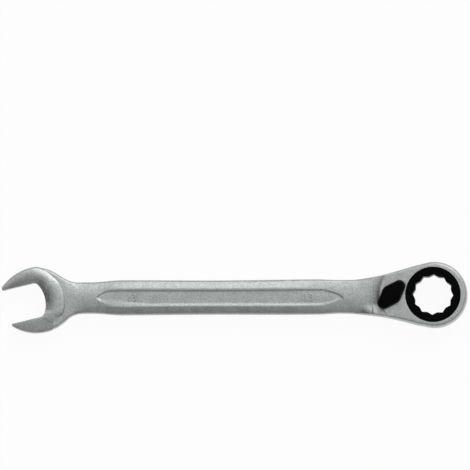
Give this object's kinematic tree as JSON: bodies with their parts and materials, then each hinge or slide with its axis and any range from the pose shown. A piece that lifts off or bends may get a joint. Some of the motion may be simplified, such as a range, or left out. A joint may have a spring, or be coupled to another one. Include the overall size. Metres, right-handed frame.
{
  "type": "reversible ratcheting combination wrench",
  "caption": "Combination wrench with a tilted open jaw at one end and a reversible 12-point ratchet ring with a thumb lever at the other.",
  "frame": {"origin": "on the plane of the ratchet head's back face, on the shank's axis, half way along the wrench", "axes": "+X along the shank towards the ratchet head, +Y across it in the plane of the wrench, +Z out of the face that carries the reversing lever"},
  "size_m": [0.1752, 0.0255, 0.0115],
  "materials": {
    "forging": "satin chrome plate",
    "gear": "black phosphate",
    "pawl": "plain hardened steel",
    "lever": "black",
    "pins": "polished",
    "springs": "spring steel",
    "seals": "matt"
  },
  "bodies": {
    "wrench": {"wrench_body": "forging", "gear_retaining_ring": "springs", "gear_friction_ring": "seals"},
    "gear": {"ratchet_gear": "gear"},
    "lever": {"reversing_lever": "lever", "lever_retaining_clip": "springs", "lever_o_ring": "seals", "detent_spring": "springs", "detent_plunger": "pins"},
    "pawl": {"pawl": "pawl"}
  },
  "joints": [
    {"name": "gear_spin", "type": "hinge", "parent": "wrench", "child": "gear", "pos_m": [0.07474, 0, 0.0047], "axis": [0, 0, 1], "continuous": true},
    {"name": "lever_swing", "type": "hinge", "parent": "wrench", "child": "lever", "pos_m": [0.05899, 0, 0.0047], "axis": [0, 0, 1], "range_deg": [-93, 0]},
    {"name": "pawl_rock", "type": "hinge", "parent": "wrench", "child": "pawl", "pos_m": [0.05899, 0, 0.0047], "axis": [0, 0, 1], "range_deg": [0, 10]}
  ],
  "couplings": [
    {"joint": "pawl_rock", "follows": "lever_swing", "ratio": -0.1075}
  ]
}
